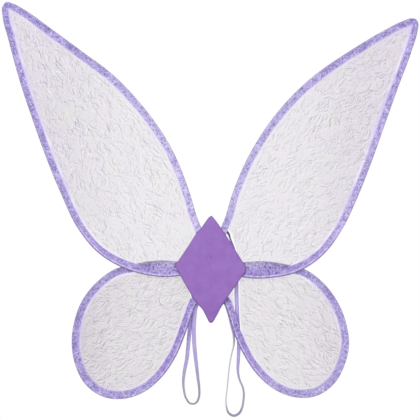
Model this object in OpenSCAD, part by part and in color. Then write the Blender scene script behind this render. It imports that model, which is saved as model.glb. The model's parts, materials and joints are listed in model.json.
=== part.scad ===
// Dress-up fairy wings: two long upper wings and two round lower wings of sheer
// film on sprung wire rims, gathered between felt patches, with elastic straps.
// +X is the wide way, +Z is up, and the wearer's back is at +Y, so the show side faces -Y.
// The origin is the centre of the back patch's outer face.

/* [Wire rims] */
// Diameter of the spring wire in each rim
wire_d = 1.6; // [1.2:0.1:1.6]
// From the outer edge of the binding to the middle of the wire
wire_inset = 2; // [1.8:0.1:2.2]
// Outer diameter of the crimp that joins the wire's two ends
ferrule_d = 2.7; // [2.2:0.1:2.7]

/* [Binding and film] */
// Width of the glitter binding folded over each rim
binding_w = 10.5; // [8:0.5:12]
// Thickness of one ply of the binding
binding_ply = 0.6; // [0.3:0.1:0.6]
// Thickness of the sheer film
film_t = 0.4; // [0.2:0.1:0.5]

/* [Patches and board] */
// Half width of the diamond patch
patch_half_w = 51; // [46:1:56]
// Half height of the diamond patch
patch_half_h = 76.5; // [70:0.5:82]
// Radius of the diamond's points
patch_round = 2.5; // [1:0.5:4]
// Thickness of the front patch
front_patch_t = 1.2; // [0.8:0.1:1.6]
// Thickness of the back patch
back_patch_t = 1.5; // [1:0.1:1.5]
// Half width of the back patch
back_half_w = 24; // [20:1:25]
// Half width of the stiff board that the wires are sewn to
board_half_w = 15.5; // [15:0.5:17]

/* [Hinge lines] */
// From the middle to the line each pair of wings folds about
hinge_x = 13; // [12.5:0.1:13.5]
// Clearance between the wire and the sleeve it turns in
running_gap = 0.1; // [0.05:0.01:0.1]
// Wall of the sewn sleeve
sleeve_wall = 0.5; // [0.3:0.1:0.5]

/* [Straps] */
// Width of the elastic strap
strap_w = 6; // [5:0.5:7]
// Thickness of the elastic strap
strap_t = 0.8; // [0.6:0.1:0.8]

/* [Hidden] */
// room between a binding's two plies for the wire and the film
slot_t = 1.8;
binding_t = slot_t + 2 * binding_ply;
slot_half = slot_t / 2;
// depths, all towards the show side, counted from the back patch's outer face
strap_gap = 0.1;
strap_back = -back_patch_t;
strap_front = strap_back - strap_t;
lower_back = strap_front - strap_gap;
lower_plane = lower_back - binding_t / 2;
upper_back = lower_back - binding_t;
upper_plane = upper_back - binding_t / 2;
patch_inner = upper_back - binding_t;
patch_outer = patch_inner - front_patch_t;
wire_r = wire_d / 2;
wire_side_gap = 0.2;
film_gap = 0.4;
film_inset = wire_inset + wire_r + film_gap;
crimp_gap = 0.05;
sleeve_r = wire_r + running_gap + sleeve_wall;
sleeve_flange = 2.5;
sleeve_flange_t = 0.4;
board_front = upper_plane + sleeve_r;
// bars of thread across the ends of the straps
tack_bar_t = 0.4;
tack_bar_w = 1.2;
tack_from_end = 1.5;
tack_overhang = 1;
board_back = strap_front - tack_bar_t;
board_top = 50;
board_bottom = -44;
// how much narrower and shorter the board's diamond is than the patch's
board_less_w = 4;
board_less_h = 5;
strap_bevel = 0.3;
rim_steps = 4;
wire_sides = 8;
inset_slack = 0.15;
// how far a cut runs past the solid that it cuts
past = 1;
// gap between the wire's two ends inside the crimp
wire_end_gap = 1;
// the wing's root, hidden by the patches: bindings and film stop at the part of the
// patches' diamond, made smaller by root_less, that lies within this box
root_w = 24;
root_top = 50;
root_less_w = 3;
root_less_h = 4.5;
// the middle panel of the front patch and the two side panels that fold with the wings
panel_half_w = 9.8;
flap_from = 12.5;
pad_half_w = 8.5;
// the lower wire steps back from the hinge line to its own plane between these
step_from = 15.5;
step_to = 18;
hinge_upper = [16, 48];
hinge_lower = [-34, -12];
ferrule_upper = [17, 27];
ferrule_lower = [-22, -13];
sleeve_upper = [28.5, 47];
sleeve_lower = [-33.5, -23.5];

// Outer edges of the wings, outwards and up from the middle, hinge line to hinge line
upper_left_rim = [
    [11, 48], [13.5, 58], [19.5, 73], [30, 108], [58, 176], [106.5, 244.5], [139.5, 278.5],
    [185, 313], [232, 347.5], [268, 373], [285, 382], [294, 384], [299.5, 378], [299.5, 364],
    [291.5, 331.5], [272.5, 263], [255, 211], [236.5, 159.5], [215.5, 108.5], [190.5, 57.5],
    [160.5, 22.5], [138.5, 8], [115, -2], [87, -9], [55, -10.5], [34, -6], [20, 4], [11, 16]];
upper_right_rim = [
    [11, 48], [13.5, 58], [19.5, 73], [30, 107.5], [61, 176], [110.5, 243.5], [148, 278.5],
    [197, 312.5], [246, 342], [276, 357], [287, 360.5], [294, 359.5], [297.5, 353.5], [296.5, 343],
    [287.5, 312.5], [268, 260], [250, 209.5], [231.5, 157.5], [211.5, 106.5], [187.5, 56.5],
    [161.5, 21.5], [140.5, 5], [116, -6.5], [87, -12], [55, -12.5], [34, -8], [20, 3], [11, 16]];
lower_left_rim = [
    [11, -12], [20, -1], [34, 8], [55, 12], [87, 12], [113, 7], [137, 1], [162, -16], [184.5, -43],
    [198, -80], [200.5, -108], [195, -139], [180, -166.5], [153, -184], [124, -186], [97.5, -177],
    [70.5, -154.5], [50, -124], [37, -93], [27, -64], [21, -49], [13.5, -42], [11, -34]];
lower_right_rim = [
    [11, -12], [20, -1], [34, 7.5], [55, 11], [87, 11], [113, 6], [136, -0.5], [160, -18], [181, -45],
    [195, -80.5], [198.5, -108], [192, -137.5], [177, -164.5], [151.5, -182], [124, -184.5], [98, -176.5],
    [70, -155.5], [48, -125], [33.5, -94], [24.5, -65], [19.5, -50], [13.3, -42], [11, -34]];

// Strap routes by hand: [x, depth, z, turn], where turn 0 lies flat and 90 stands edge on
strap_mid = (strap_back + strap_front) / 2;
right_strap_route = [
    [8, strap_mid, 38, 0], [11, strap_mid, 46, 0], [15.5, strap_mid, 51.5, 0], [20, strap_mid, 54, 0],
    [24.5, -1.4, 52, 62], [27.2, -1, 45, 70], [30, -1, 36, 50], [33, -1.2, 24, 5],
    [35.5, -1.2, 8, 0], [36.5, -1.2, -12, 0], [36.5, -1.2, -32, 0], [37, -0.6, -52, 5],
    [38, 0.6, -72, 10], [39.5, 2, -92, 20], [40, 3, -112, 30], [39.2, 4, -132, 42],
    [38.8, 4.5, -149, 56], [41.5, 5, -161, 62], [45.8, 5, -171, 64], [47.4, 5, -181, 64],
    [46.6, 5, -191, 64], [44.8, 5, -200.5, 64], [40.5, 5, -208.5, 64], [33, 5, -212, 64],
    [25.8, 5, -208.5, 66], [22.2, 5, -199.5, 68], [21.4, 5, -189, 70], [22.6, 5, -177, 70],
    [24.2, 4.7, -162, 70], [26, 4.2, -144, 70], [28.8, 3.6, -126, 69], [32.8, 3, -109, 64],
    [32.8, 2.4, -96, 54], [29.8, 1.4, -80, 30], [25.8, -0.2, -62, 8], [21.5, strap_mid, -50, 0],
    [15, strap_mid, -41, 0], [8, strap_mid, -33, 0]];
left_strap_route = [
    [-5, strap_mid, 32, 0], [-8, strap_mid, 41, 0], [-14, strap_mid, 43.5, 0],
    [-20, strap_mid, 37, 0], [-25.5, strap_mid, 25, 0],
    [-29, strap_mid, 11, 0], [-31, -1.2, -8, 0], [-28.8, -1.4, -24, 0],
    [-26.5, strap_mid, -34, 0], [-25, strap_mid, -43, 0], [-26.4, -0.2, -55, 0],
    [-28.8, 1.4, -69, 6], [-30.4, 2.2, -82, 10], [-31.8, 2.8, -96, 14], [-33.2, 3.4, -112, 20],
    [-35.2, 4.2, -130, 28], [-38.6, 4.7, -148, 38], [-40.2, 5, -162, 50], [-39.2, 5, -176, 58],
    [-35.8, 5, -187.5, 60], [-29.6, 5, -194.6, 60], [-22.6, 5, -194, 60], [-17.8, 5, -186, 60],
    [-17.1, 5, -174, 58], [-19, 4.6, -158, 50], [-21, 4, -140, 38], [-23.3, 3.2, -120, 24],
    [-24.7, 2.2, -102, 12], [-25, 0.9, -85, 8], [-24, -0.3, -69, 4], [-22, strap_mid, -55, 0],
    [-17, strap_mid, -44, 0], [-10, strap_mid, -35, 0]];

thread_r = 0.3;
thread_gap = 0.05;
stitch_len = 3;
// heights of the stitches that hold the front patch to the board
seam_at = [17, -3, -23];
// where the crossing bindings are caught together, clear of both wires
tack_at = [104.5, 111];
tack_z = 1.8;

// ---- curves ----
function unit(v) = v / norm(v);

// Direction of a smooth curve at b, where it runs a, b, c
function heading(a, b, c) = unit(norm(c - b) * unit(b - a) + norm(b - a) * unit(c - b));

function hermite(a, ta, b, tb, t) =
    let (reach = norm(b - a))
    (2 * t ^ 3 - 3 * t ^ 2 + 1) * a + (t ^ 3 - 2 * t ^ 2 + t) * reach * ta
    + (3 * t ^ 2 - 2 * t ^ 3) * b + (t ^ 3 - t ^ 2) * reach * tb;

// A smooth open curve through the knots that leaves and arrives straight up
function rim_curve(knots, steps) =
    let (
        last = len(knots) - 1,
        dirs = [for (i = [0:last])
            (i == 0 || i == last) ? [0, 1] : heading(knots[i - 1], knots[i], knots[i + 1])])
    concat(
        [for (i = [0:last - 1]) for (k = [0:steps - 1])
            hermite(knots[i], dirs[i], knots[i + 1], dirs[i + 1], k / steps)],
        [knots[last]]);

// Direction along a closed outline at point i
function along(points, i) =
    let (n = len(points))
    heading(points[(i + n - 1) % n], points[i], points[(i + 1) % n]);

function inner_side(points, i) =
    let (d = along(points, i))
    [d[1], -d[0]];

function reach_to(p, a, b) =
    let (ab = b - a, t = max(0, min(1, ((p - a) * ab) / (ab * ab))))
    norm(p - a - t * ab);

// Clockwise outline moved inwards by d; points that would cross another part of it are left out
function inset(points, d) =
    let (n = len(points))
    [for (i = [0:n - 1])
        let (
            q = points[i] + d * inner_side(points, i),
            nearest = min([for (k = [0:n - 1]) reach_to(q, points[k], points[(k + 1) % n])]))
        if (nearest > d - inset_slack) q];

// The wire's own line, straight through the hinge, from one end in the crimp to the other
function wire_line(rim, hinge, ferrule) =
    let (
        curve = rim_curve(rim, rim_steps),
        mid = (ferrule[0] + ferrule[1]) / 2,
        run = [for (i = [1:len(curve) - 2]) curve[i] + wire_inset * inner_side(curve, i)])
    concat(
        [[hinge_x, mid + wire_end_gap / 2], [hinge_x, hinge[1]]],
        run,
        [[hinge_x, hinge[0]], [hinge_x, mid - wire_end_gap / 2]]);

function smooth(t) =
    let (s = max(0, min(1, t)))
    s * s * (3 - 2 * s);

function step_depth(x, plane) =
    upper_plane + (plane - upper_plane) * smooth((x - step_from) / (step_to - step_from));

// ---- sweeps ----
function sweep_faces(rings, sides) = concat(
    [[for (k = [0:sides - 1]) k]],
    [for (i = [0:rings - 2]) for (k = [0:sides - 1])
        let (a = i * sides + k, b = i * sides + (k + 1) % sides)
        each [[a, a + sides, b + sides], [a, b + sides, b]]],
    [[for (k = [sides - 1:-1:0]) (rings - 1) * sides + k]]);

function path_dir(path, i) =
    let (last = len(path) - 1)
    i == 0 ? unit(path[1] - path[0])
        : i == last ? unit(path[last] - path[last - 1])
        : unit(unit(path[i] - path[i - 1]) + unit(path[i + 1] - path[i]));

// The path's own sideways direction: level with the wing plane and square to the path
function path_side(path, i) = unit(cross(path_dir(path, i), [0, 1, 0]));

module round_sweep(path, r, sides) {
    points = [for (i = [0:len(path) - 1])
        let (n = path_side(path, i), b = cross(path_dir(path, i), n))
        for (k = [0:sides - 1])
            path[i] + r * cos(k * 360 / sides) * n + r * sin(k * 360 / sides) * b];
    polyhedron(points, sweep_faces(len(path), sides), convexity = 10);
}

// A flat band along [x, depth, z, turn] stations
module band_sweep(route, width, thick) {
    path = [for (p = route) [p[0], p[1], p[2]]];
    flat = width / 2 - strap_bevel;
    side = thick / 2 - strap_bevel;
    section = [
        [-width / 2, -side], [-flat, -thick / 2], [flat, -thick / 2], [width / 2, -side],
        [width / 2, side], [flat, thick / 2], [-flat, thick / 2], [-width / 2, side]];
    points = [for (i = [0:len(path) - 1])
        let (
            n = path_side(path, i),
            b = cross(path_dir(path, i), n),
            wide = cos(route[i][3]) * n + sin(route[i][3]) * b,
            deep = cross(path_dir(path, i), wide))
        for (s = section) path[i] + s[0] * wide + s[1] * deep];
    polyhedron(points, sweep_faces(len(path), len(section)), convexity = 10);
}

// Flat shape in the wing plane, from depth `back` forwards by `thick`
module layer(back, thick) {
    translate([0, back, 0]) rotate([90, 0, 0]) linear_extrude(height = thick) children();
}

module side_of(side) {
    mirror([side < 0 ? 1 : 0, 0, 0]) children();
}

// ---- patches ----
module diamond(half_w, half_h, r) {
    slope = atan2(half_h, half_w);
    tip_x = half_w - r / sin(slope);
    tip_z = half_h - r / cos(slope);
    edge = r * [sin(slope), cos(slope)];
    union() {
        polygon([
            [tip_x + edge[0], edge[1]], [edge[0], tip_z + edge[1]],
            [-edge[0], tip_z + edge[1]], [-tip_x - edge[0], edge[1]],
            [-tip_x - edge[0], -edge[1]], [-edge[0], -tip_z - edge[1]],
            [edge[0], -tip_z - edge[1]], [tip_x + edge[0], -edge[1]]]);
        for (p = [[tip_x, 0], [-tip_x, 0], [0, tip_z], [0, -tip_z]])
            translate(p) circle(r = r, $fn = 48);
    }
}

module patch_shape() {
    diamond(patch_half_w, patch_half_h, patch_round);
}

module strip(from_x, to_x) {
    translate([from_x, -patch_half_h - past])
        square([to_x - from_x, 2 * (patch_half_h + past)]);
}

module back_patch() {
    color("mediumpurple") layer(0, back_patch_t) intersection() {
        patch_shape();
        strip(-back_half_w, back_half_w);
    }
}

module front_patch_centre() {
    color("mediumorchid") layer(patch_inner, front_patch_t) intersection() {
        patch_shape();
        strip(-panel_half_w, panel_half_w);
    }
}

module front_patch_side(side) {
    color("mediumorchid") side_of(side) layer(patch_inner, front_patch_t) intersection() {
        patch_shape();
        strip(flap_from, patch_half_w + past);
    }
}

// A smaller diamond cut off at the sides, the top and the bottom
module trimmed_diamond(half_w) {
    intersection() {
        diamond(patch_half_w - board_less_w, patch_half_h - board_less_h, patch_round);
        translate([-half_w, board_bottom]) square([2 * half_w, board_top - board_bottom]);
    }
}

module core_board() {
    color("gainsboro") layer(board_back, board_back - board_front)
        trimmed_diamond(board_half_w);
}

module centre_pad() {
    color("whitesmoke") layer(board_front, board_front - patch_inner)
        trimmed_diamond(pad_half_w);
}

// One stitch standing on the face at `depth`, running up
module stitch(x, depth, z) {
    translate([x - thread_r, depth - thread_r, z - stitch_len / 2])
        cube([2 * thread_r, thread_r, stitch_len]);
}

module centre_seam() {
    color("rebeccapurple") for (z = seam_at) stitch(0, patch_outer, z);
}

// ---- hinge hardware ----
module sleeve(side, span) {
    tall = span[1] - span[0];
    color("lavender") side_of(side) difference() {
        union() {
            translate([hinge_x, upper_plane, span[0]]) cylinder(r = sleeve_r, h = tall, $fn = 48);
            translate([hinge_x - sleeve_flange, board_front - sleeve_flange_t, span[0]])
                cube([2 * sleeve_flange, sleeve_flange_t, tall]);
        }
        translate([hinge_x, upper_plane, span[0] - past])
            cylinder(r = wire_r + running_gap, h = tall + 2 * past, $fn = 48);
    }
}

module ferrule(side, span) {
    tall = span[1] - span[0];
    color("silver") side_of(side) translate([hinge_x, upper_plane, span[0]]) difference() {
        cylinder(r = ferrule_d / 2, h = tall, $fn = 48);
        translate([0, 0, -past])
            cylinder(r = wire_r + crimp_gap, h = tall + 2 * past, $fn = 48);
    }
}

// ---- wings ----
module wire(side, rim, hinge, crimp, plane) {
    line = wire_line(rim, hinge, crimp);
    path = [for (p = line) [p[0], step_depth(p[0], plane), p[1]]];
    color("slategray") side_of(side) round_sweep(path, wire_r, wire_sides);
}

module root() {
    intersection() {
        diamond(patch_half_w - root_less_w, patch_half_h - root_less_h, patch_round);
        translate([0, -root_top]) square([root_w, 2 * root_top]);
    }
}

module rim_shape(rim, d) {
    polygon(d == 0 ? rim_curve(rim, rim_steps) : inset(rim_curve(rim, rim_steps), d));
}

module film(side, rim, plane) {
    color([0.9, 0.88, 0.93, 0.5]) side_of(side) difference() {
        layer(plane + film_t / 2, film_t) difference() {
            rim_shape(rim, film_inset);
            root();
        }
        tack_holes();
    }
}

module binding_band(rim, from_d, to_d) {
    difference() {
        rim_shape(rim, from_d);
        rim_shape(rim, to_d);
        root();
    }
}

module tack_legs(r, back, deep) {
    for (x = tack_at) for (leg = [-stitch_len / 2, stitch_len / 2])
        translate([x + leg, back, tack_z]) rotate([90, 0, 0]) cylinder(r = r, h = deep, $fn = 16);
}

module tack_holes() {
    tack_legs(thread_r + thread_gap, 0, -patch_outer);
}

// Two plies joined round the outer edge, with the wire and the film's edge between them
module binding(side, rim, plane) {
    color("mediumpurple") side_of(side) difference() {
        layer(plane + binding_t / 2, binding_t) binding_band(rim, 0, binding_w);
        layer(plane + slot_half, 2 * slot_half)
            binding_band(rim, wire_inset - wire_r - wire_side_gap, binding_w + past);
        tack_holes();
    }
}

// Hand stitches that hold the crossing bindings together
module binding_tacks(side) {
    color("rebeccapurple") side_of(side) union() {
        tack_legs(thread_r, lower_back, lower_back - patch_inner);
        for (x = tack_at) for (depth = [lower_back, patch_inner - thread_r])
            translate([x - stitch_len / 2 - thread_r, depth, tack_z - thread_r])
                cube([stitch_len + 2 * thread_r, thread_r, 2 * thread_r]);
    }
}

// ---- straps ----
module strap(route) {
    color("plum") band_sweep(route, strap_w, strap_t);
}

// Bars of thread across both ends of a strap, between the back patch and the board
module strap_tacks(route) {
    last = len(route) - 1;
    color("rebeccapurple") for (i = [0, last]) {
        at = route[i];
        inner = route[i == 0 ? 1 : last - 1];
        lean = atan2(inner[0] - at[0], inner[2] - at[2]);
        translate([at[0], board_back, at[2]]) rotate([0, lean, 0])
            translate([-strap_w / 2 - tack_overhang, 0, tack_from_end])
                cube([strap_w + 2 * tack_overhang, tack_bar_t, tack_bar_w]);
    }
}

back_patch();
core_board();
centre_pad();
front_patch_centre();
centre_seam();
sleeve(-1, sleeve_upper);  // upper_left_sleeve
sleeve(-1, sleeve_lower);  // lower_left_sleeve
sleeve(1, sleeve_upper);  // upper_right_sleeve
sleeve(1, sleeve_lower);  // lower_right_sleeve
strap(left_strap_route);  // left_strap
strap(right_strap_route);  // right_strap
strap_tacks(left_strap_route);  // left_strap_tacks
strap_tacks(right_strap_route);  // right_strap_tacks
wire(-1, upper_left_rim, hinge_upper, ferrule_upper, upper_plane);  // upper_left_wire
ferrule(-1, ferrule_upper);  // upper_left_ferrule
film(-1, upper_left_rim, upper_plane);  // upper_left_film
binding(-1, upper_left_rim, upper_plane);  // upper_left_binding
wire(-1, lower_left_rim, hinge_lower, ferrule_lower, lower_plane);  // lower_left_wire
ferrule(-1, ferrule_lower);  // lower_left_ferrule
film(-1, lower_left_rim, lower_plane);  // lower_left_film
binding(-1, lower_left_rim, lower_plane);  // lower_left_binding
front_patch_side(-1);  // front_patch_left
binding_tacks(-1);  // left_binding_tacks
wire(1, upper_right_rim, hinge_upper, ferrule_upper, upper_plane);  // upper_right_wire
ferrule(1, ferrule_upper);  // upper_right_ferrule
film(1, upper_right_rim, upper_plane);  // upper_right_film
binding(1, upper_right_rim, upper_plane);  // upper_right_binding
wire(1, lower_right_rim, hinge_lower, ferrule_lower, lower_plane);  // lower_right_wire
ferrule(1, ferrule_lower);  // lower_right_ferrule
film(1, lower_right_rim, lower_plane);  // lower_right_film
binding(1, lower_right_rim, lower_plane);  // lower_right_binding
front_patch_side(1);  // front_patch_right
binding_tacks(1);  // right_binding_tacks
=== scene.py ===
import json
import math
import random

import bmesh
import bpy
import numpy as np
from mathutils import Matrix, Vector, noise
from mathutils.geometry import delaunay_2d_cdt


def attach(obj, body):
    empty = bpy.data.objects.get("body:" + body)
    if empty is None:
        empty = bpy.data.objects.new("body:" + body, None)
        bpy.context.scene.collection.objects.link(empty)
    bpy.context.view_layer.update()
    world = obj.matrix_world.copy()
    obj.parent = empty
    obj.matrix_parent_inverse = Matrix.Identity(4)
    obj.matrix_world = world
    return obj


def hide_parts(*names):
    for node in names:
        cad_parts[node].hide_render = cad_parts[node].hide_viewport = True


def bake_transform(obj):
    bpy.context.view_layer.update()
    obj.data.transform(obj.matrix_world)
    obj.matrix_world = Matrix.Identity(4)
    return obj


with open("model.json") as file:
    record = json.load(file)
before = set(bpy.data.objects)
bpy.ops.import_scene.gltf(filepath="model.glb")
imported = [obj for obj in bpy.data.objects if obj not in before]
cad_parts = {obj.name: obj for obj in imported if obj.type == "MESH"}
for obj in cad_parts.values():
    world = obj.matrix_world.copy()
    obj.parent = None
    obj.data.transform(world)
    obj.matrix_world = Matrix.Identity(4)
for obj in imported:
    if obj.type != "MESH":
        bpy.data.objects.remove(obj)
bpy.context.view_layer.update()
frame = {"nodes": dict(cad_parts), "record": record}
NODES = frame["nodes"]
SCENE = bpy.context.scene
MM = 0.001

# ---- camera ----
# Width of the view in m at the wings' front, and that plane's depth
VIEW_WIDTH = 0.603
VIEW_PLANE = -0.007
VIEW_CENTRE = (-0.0016, 0.0854)
LENS = 100
SENSOR = 36
camera = bpy.data.objects.new("camera", bpy.data.cameras.new("camera"))
SCENE.collection.objects.link(camera)
camera.data.lens = LENS
camera.data.sensor_width = SENSOR
camera.location = (VIEW_CENTRE[0], VIEW_PLANE - VIEW_WIDTH * LENS / SENSOR, VIEW_CENTRE[1])
camera.rotation_euler = (math.pi / 2, 0, 0)
SCENE.camera = camera

# ---- depths and sizes, in mm, as in the CAD ----
STRAP_MID = -1.9
LOWER_PLANE = -3.9
UPPER_PLANE = -6.9
PATCH_BACK = -8.4
PATCH_FACE = -9.6
STRAP_W = 6
STRAP_T = 0.8
BINDING_W = 10.2
FILM_INSET = 3.2


# ---- shader helpers ----
def put(tree, kind, props=None, **inputs):
    """Adds a shader node. An input is a socket, a value, or _N for input number N."""
    made = tree.nodes.new(kind)
    for key, value in (props or {}).items():
        setattr(made, key, value)
    for key, value in inputs.items():
        socket = made.inputs[int(key[1:]) if key[0] == "_" else key.replace("_", " ")]
        if isinstance(value, bpy.types.NodeSocket):
            tree.links.new(value, socket)
        else:
            socket.default_value = value
    return made


def math_of(tree, operation, *values):
    inputs = {f"_{i}": v for i, v in enumerate(values)}
    return put(tree, "ShaderNodeMath", {"operation": operation}, **inputs).outputs[0]


def times(tree, a, b):
    return math_of(tree, "MULTIPLY", a, b)


def ramp(tree, value, low, high, to_low=0.0, to_high=1.0):
    """value from low..high to to_low..to_high, eased and held at the ends."""
    return put(
        tree, "ShaderNodeMapRange", {"interpolation_type": "SMOOTHSTEP"},
        _0=value, _1=low, _2=high, _3=to_low, _4=to_high,
    ).outputs[0]


def mix(tree, factor, a, b, blend="MIX"):
    made = put(
        tree, "ShaderNodeMix", {"data_type": "RGBA", "blend_type": blend}, _0=factor, _6=a, _7=b
    )
    return made.outputs[2]


def vector_of(tree, operation, **inputs):
    return put(tree, "ShaderNodeVectorMath", {"operation": operation}, **inputs).outputs[0]


def mapped(tree, vector, **place):
    return put(tree, "ShaderNodeMapping", Vector=vector, **place).outputs[0]


def object_space(tree, scale=(1, 1, 1), turn=(0, 0, 0), shift=(0, 0, 0)):
    place = put(tree, "ShaderNodeTexCoord").outputs["Object"]
    return mapped(tree, place, Scale=scale, Rotation=turn, Location=shift)


def noise_of(tree, vector, scale, detail=2.0, rough=0.5, distort=0.0):
    return put(
        tree, "ShaderNodeTexNoise",
        Vector=vector, Scale=scale, Detail=detail, Roughness=rough, Distortion=distort,
    ).outputs[0]


def attribute(tree, name):
    return put(tree, "ShaderNodeAttribute", {"attribute_name": name}).outputs["Fac"]


def bump(tree, height, distance, strength=1.0, under=None):
    extra = {} if under is None else {"Normal": under}
    return put(
        tree, "ShaderNodeBump", Height=height, Distance=distance, Strength=strength, **extra
    ).outputs[0]


def srgb(r, g, b):
    """Linear colour from 0..255 screen values."""

    def one(v):
        v /= 255
        return v / 12.92 if v <= 0.04045 else ((v + 0.055) / 1.055) ** 2.4

    return (one(r), one(g), one(b), 1)


def blank(name, roughness, **fixed):
    """A new material: its node tree and its Principled node."""
    material = bpy.data.materials.new(name)
    material.use_nodes = True
    tree = material.node_tree
    shader = tree.nodes["Principled BSDF"]
    shader.inputs["Roughness"].default_value = roughness
    for key, value in fixed.items():
        shader.inputs[key.replace("_", " ")].default_value = value
    return material, tree, shader


def feed(tree, shader, **sockets):
    for key, value in sockets.items():
        tree.links.new(value, shader.inputs[key.replace("_", " ")])


# ---- materials ----
# Colour of each level's film near the hub and far out, and how dense each wing's film is
FILM_GROUND = {
    "upper": (srgb(184, 168, 192), srgb(179, 158, 192)),
    "lower": (srgb(168, 151, 172), srgb(164, 140, 164)),
}
FILM_DENSITY = {"upper_left": 1.05, "upper_right": 1.1, "lower_left": 1.38, "lower_right": 1.2}
FILM_ALPHA = 0.37
# Each net of veins: its lean in radians, how fine it is, and the noise level it follows
VEIN_NETS = ((0.3, 100, 0.5), (-0.42, 136, 0.46))
VEIN_STRETCH = 0.36
VEIN_FLANK = 0.0009


def film_material(wing, turn, seed):
    """Sheer crackle film: broken raised veins that run one way, each lit on one flank."""
    material, tree, shader = blank(f"{wing}_crackle", 0.42, Specular_IOR_Level=0.4)
    place = object_space(tree, turn=(0, turn, 0), shift=(seed, 0, seed))

    def veins(offset):
        net = None
        for lean, scale, level in VEIN_NETS:
            leant = mapped(tree, place, Rotation=(0, lean, 0), Location=(0, 0, offset))
            drawn = mapped(tree, leant, Scale=(VEIN_STRETCH, 1, 1))
            field = noise_of(tree, drawn, scale, 1.2, 0.45, 1.2)
            off = math_of(tree, "ABSOLUTE", math_of(tree, "SUBTRACT", field, level))
            vein = ramp(tree, off, 0.0, 0.1, 1.0, 0.0)
            breaks = ramp(tree, noise_of(tree, leant, scale * 0.75, 1, 0.5), 0.42, 0.56)
            vein = times(tree, vein, breaks)
            net = vein if net is None else math_of(tree, "MAXIMUM", net, vein)
        return net

    relief = math_of(tree, "SUBTRACT", veins(VEIN_FLANK), veins(-VEIN_FLANK))
    grain = noise_of(tree, place, 620, 2, 0.6)
    patchy = noise_of(tree, place, 26, 3, 0.55)
    inner = ramp(tree, attribute(tree, "edge"), 8.0, 12.0)
    strength = times(tree, inner, ramp(tree, patchy, 0.3, 0.6, 0.32, 0.62))
    relief = times(tree, relief, strength)
    light = math_of(tree, "MAXIMUM", relief, 0.0)
    dark = math_of(tree, "MAXIMUM", times(tree, relief, -1.0), 0.0)
    # the ground: duller far out, with paler patches, grain and faint tints
    sideways = put(tree, "ShaderNodeSeparateXYZ", Vector=object_space(tree)).outputs[0]
    far = ramp(tree, math_of(tree, "ABSOLUTE", sideways), 0.06, 0.27)
    ground = mix(tree, far, *FILM_GROUND[wing.split("_")[0]])
    ground = mix(tree, ramp(tree, patchy, 0.35, 0.65, 0, 0.3), ground, srgb(196, 186, 206))
    ground = mix(tree, ramp(tree, grain, 0.4, 0.65, 0, 0.3), ground, srgb(132, 128, 138))
    tint = noise_of(tree, place, 46, 1, 0.5)
    ground = mix(tree, ramp(tree, tint, 0.56, 0.72, 0, 0.5), ground, srgb(188, 156, 182))
    ground = mix(tree, ramp(tree, tint, 0.44, 0.28, 0, 0.5), ground, srgb(176, 180, 160))
    # the margin beside the binding takes on its lilac
    margin = math_of(tree, "SUBTRACT", 1.0, inner)
    margin = times(tree, margin, attribute(tree, "glow"))
    ground = mix(tree, margin, ground, srgb(182, 154, 236))
    # each vein's lit flank is painted white as a highlight and its other flank dark grey as shade
    coloured = mix(tree, light, ground, srgb(255, 255, 255))
    coloured = mix(tree, dark, coloured, srgb(96, 90, 102))
    halo = ramp(tree, noise_of(tree, place, 30, 2, 0.5), 0.36, 0.62, 0.22, 0.46)
    solid = put(tree, "ShaderNodeMix", _0=margin, _2=FILM_ALPHA, _3=halo).outputs[0]
    solid = math_of(tree, "ADD", solid, times(tree, dark, 0.3))
    solid = math_of(tree, "ADD", solid, times(tree, light, 0.3))
    density = FILM_DENSITY[wing]
    thin = ramp(tree, far, 0.0, 1.0, 0.76 * density, 1.12 * density)
    veil = ramp(tree, attribute(tree, "clear"), 0.0, 1.0, 1.0, 0.12)
    solid = times(tree, times(tree, solid, thin), veil)
    feed(tree, shader, Base_Color=coloured, Alpha=solid, Normal=bump(tree, relief, 0.0005, 0.5))
    return material


def fibre_material():
    """The raised strands on the films, each with a tone of its own; those of a high tone are
    painted near-white as highlights.
    """
    material, tree, shader = blank("film_strand", 0.35, Specular_IOR_Level=0.5, Alpha=0.6)
    tone = attribute(tree, "tone")
    dull = mix(tree, ramp(tree, tone, 0.0, 0.5), srgb(160, 154, 166), srgb(202, 197, 206))
    # strands of a high tone are painted near-white as highlights
    colour = mix(tree, ramp(tree, tone, 0.48, 0.55), dull, srgb(250, 249, 253))
    feed(tree, shader, Base_Color=colour)
    return material


# How far in from the fold the binding's crest is, in mm; a highlight is painted along it
CREST_V = 2.9


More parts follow.
